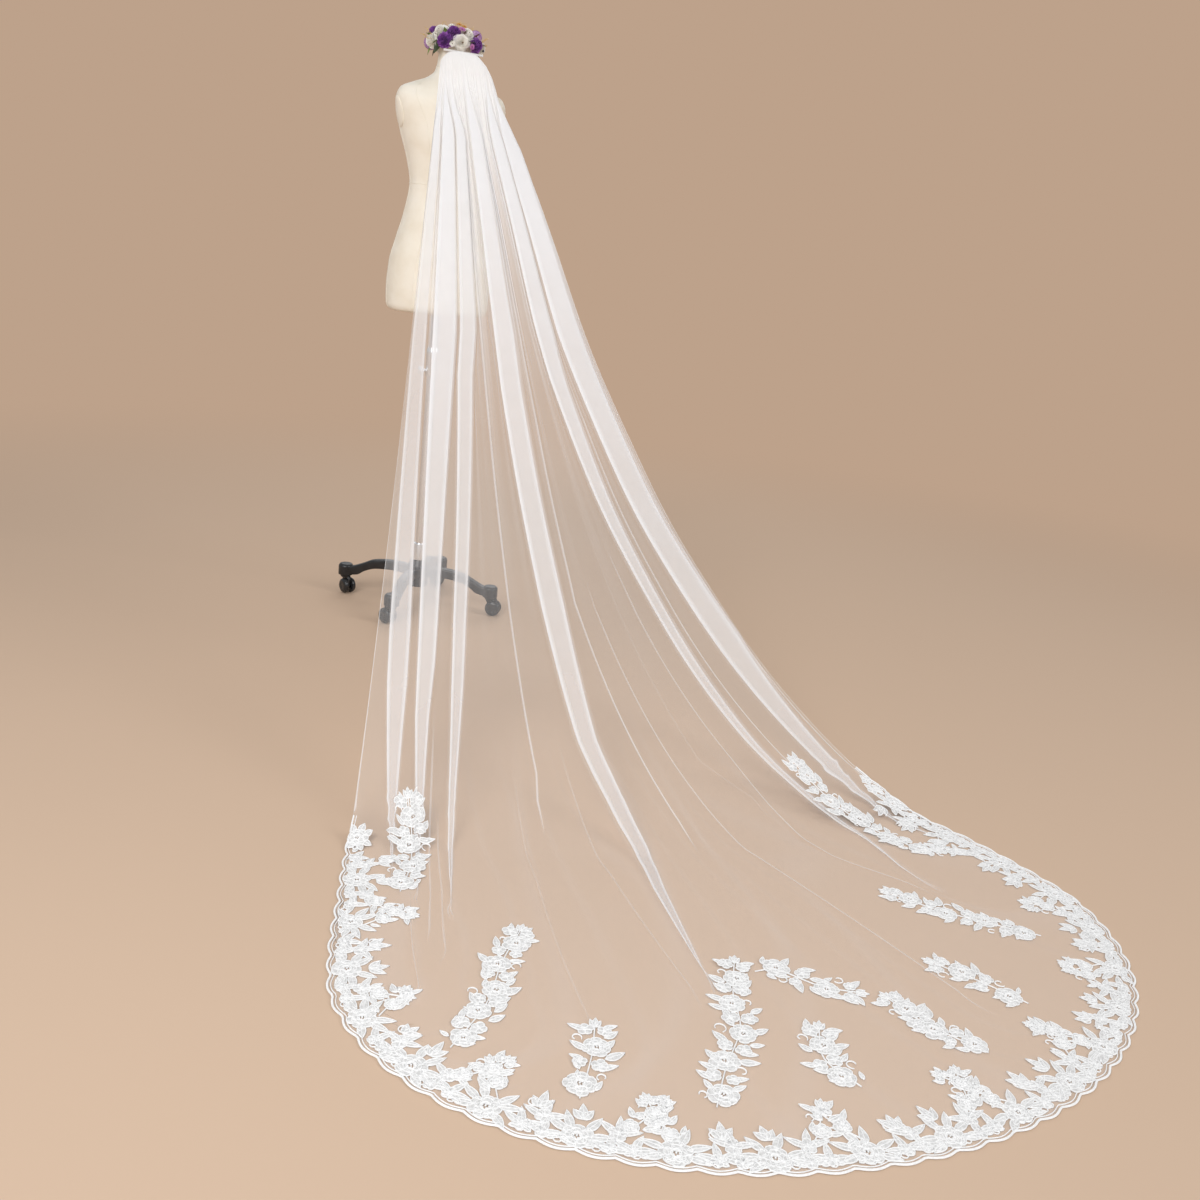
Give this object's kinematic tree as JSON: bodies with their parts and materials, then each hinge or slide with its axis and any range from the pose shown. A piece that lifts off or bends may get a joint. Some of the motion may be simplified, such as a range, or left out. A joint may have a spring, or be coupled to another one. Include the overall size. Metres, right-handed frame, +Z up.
{
  "type": "bridal veil with a flower wreath on a dress form stand",
  "caption": "Cathedral tulle veil with scalloped floral lace, hanging from a silk flower wreath on a limbless rolling dress form, its train spread on the floor.",
  "frame": {"origin": "middle of the whole footprint, on the floor, under the train", "axes": "+Z up; the form faces +Y and the train runs out towards -Y; +X is on the form's left"},
  "size_m": [1.5656, 2.8802, 1.7597],
  "materials": {
    "tulle": "sheer soft net",
    "lace": "matt corded and embroidered",
    "linen": "matt plain weave",
    "stand_black": "gloss black enamel",
    "caster_black": "gloss moulded nylon",
    "comb_steel": "bright drawn wire",
    "greenery": "matt waxed cloth leaves on a wrapped wire",
    "petal_white": "soft silk petals",
    "petal_violet": "soft silk petals",
    "petal_lilac": "soft silk petals"
  },
  "bodies": {
    "stand_and_veil": {"veil_tulle": "tulle", "veil_gather_band": "tulle", "veil_comb": "comb_steel", "lace_border": "lace", "lace_sprig_left_climb": "lace", "lace_sprig_left_wave": "lace", "lace_sprig_left_small": "lace", "lace_sprig_middle_tall": "lace", "lace_sprig_middle_fork": "lace", "lace_sprig_middle_small": "lace", "lace_sprig_right_wave": "lace", "lace_sprig_right_small": "lace", "lace_sprig_right_long": "lace", "lace_sprig_right_climb": "lace", "form_torso": "linen", "form_neck_cap": "linen", "form_arm_plate_left": "linen", "form_arm_plate_right": "linen", "stand_pole": "stand_black", "stand_collar": "stand_black", "stand_base": "stand_black", "wreath_vine": "greenery", "wreath_rose_low_1": "petal_white", "wreath_violet_low_2": "petal_violet", "wreath_rose_low_3": "petal_white", "wreath_lilac_low_4": "petal_lilac", "wreath_violet_low_5": "petal_violet", "wreath_rose_low_6": "petal_white", "wreath_lilac_low_7": "petal_lilac", "wreath_rose_low_8": "petal_white", "wreath_violet_low_9": "petal_violet", "wreath_rose_high_1": "petal_white", "wreath_lilac_high_2": "petal_lilac", "wreath_violet_high_3": "petal_violet", "wreath_rose_high_4": "petal_white", "wreath_lilac_high_5": "petal_lilac", "wreath_rose_high_6": "petal_white", "wreath_violet_high_7": "petal_violet", "wreath_rose_high_8": "petal_white", "wreath_violet_high_9": "petal_violet"},
    "caster_1": {"caster_1_housing": "caster_black"},
    "wheels_1": {"caster_1_wheels": "caster_black"},
    "caster_2": {"caster_2_housing": "caster_black"},
    "wheels_2": {"caster_2_wheels": "caster_black"},
    "caster_3": {"caster_3_housing": "caster_black"},
    "wheels_3": {"caster_3_wheels": "caster_black"},
    "caster_4": {"caster_4_housing": "caster_black"},
    "wheels_4": {"caster_4_wheels": "caster_black"}
  },
  "joints": [
    {"name": "caster_1_swivel", "type": "hinge", "parent": "stand_and_veil", "child": "caster_1", "pos_m": [0.08187, 1.07366, 0.07], "axis": [0, 0, 1], "continuous": true},
    {"name": "caster_1_roll", "type": "hinge", "parent": "caster_1", "child": "wheels_1", "pos_m": [0.09399, 1.06666, 0.025], "axis": [-0.5, -0.866, 0], "continuous": true},
    {"name": "caster_2_swivel", "type": "hinge", "parent": "stand_and_veil", "child": "caster_2", "pos_m": [0.00596, 1.41607, 0.07], "axis": [0, 0, 1], "continuous": true},
    {"name": "caster_2_roll", "type": "hinge", "parent": "caster_2", "child": "wheels_2", "pos_m": [-0.00477, 1.40707, 0.025], "axis": [-0.6428, 0.766, 0], "continuous": true},
    {"name": "caster_3_swivel", "type": "hinge", "parent": "stand_and_veil", "child": "caster_3", "pos_m": [-0.33645, 1.34016, 0.07], "axis": [0, 0, 1], "continuous": true},
    {"name": "caster_3_roll", "type": "hinge", "parent": "caster_3", "child": "wheels_3", "pos_m": [-0.33166, 1.327, 0.025], "axis": [-0.9397, -0.342, 0], "continuous": true},
    {"name": "caster_4_swivel", "type": "hinge", "parent": "stand_and_veil", "child": "caster_4", "pos_m": [-0.26054, 0.99775, 0.07], "axis": [0, 0, 1], "continuous": true},
    {"name": "caster_4_roll", "type": "hinge", "parent": "caster_4", "child": "wheels_4", "pos_m": [-0.26754, 1.00987, 0.025], "axis": [0.866, 0.5, 0], "continuous": true}
  ]
}
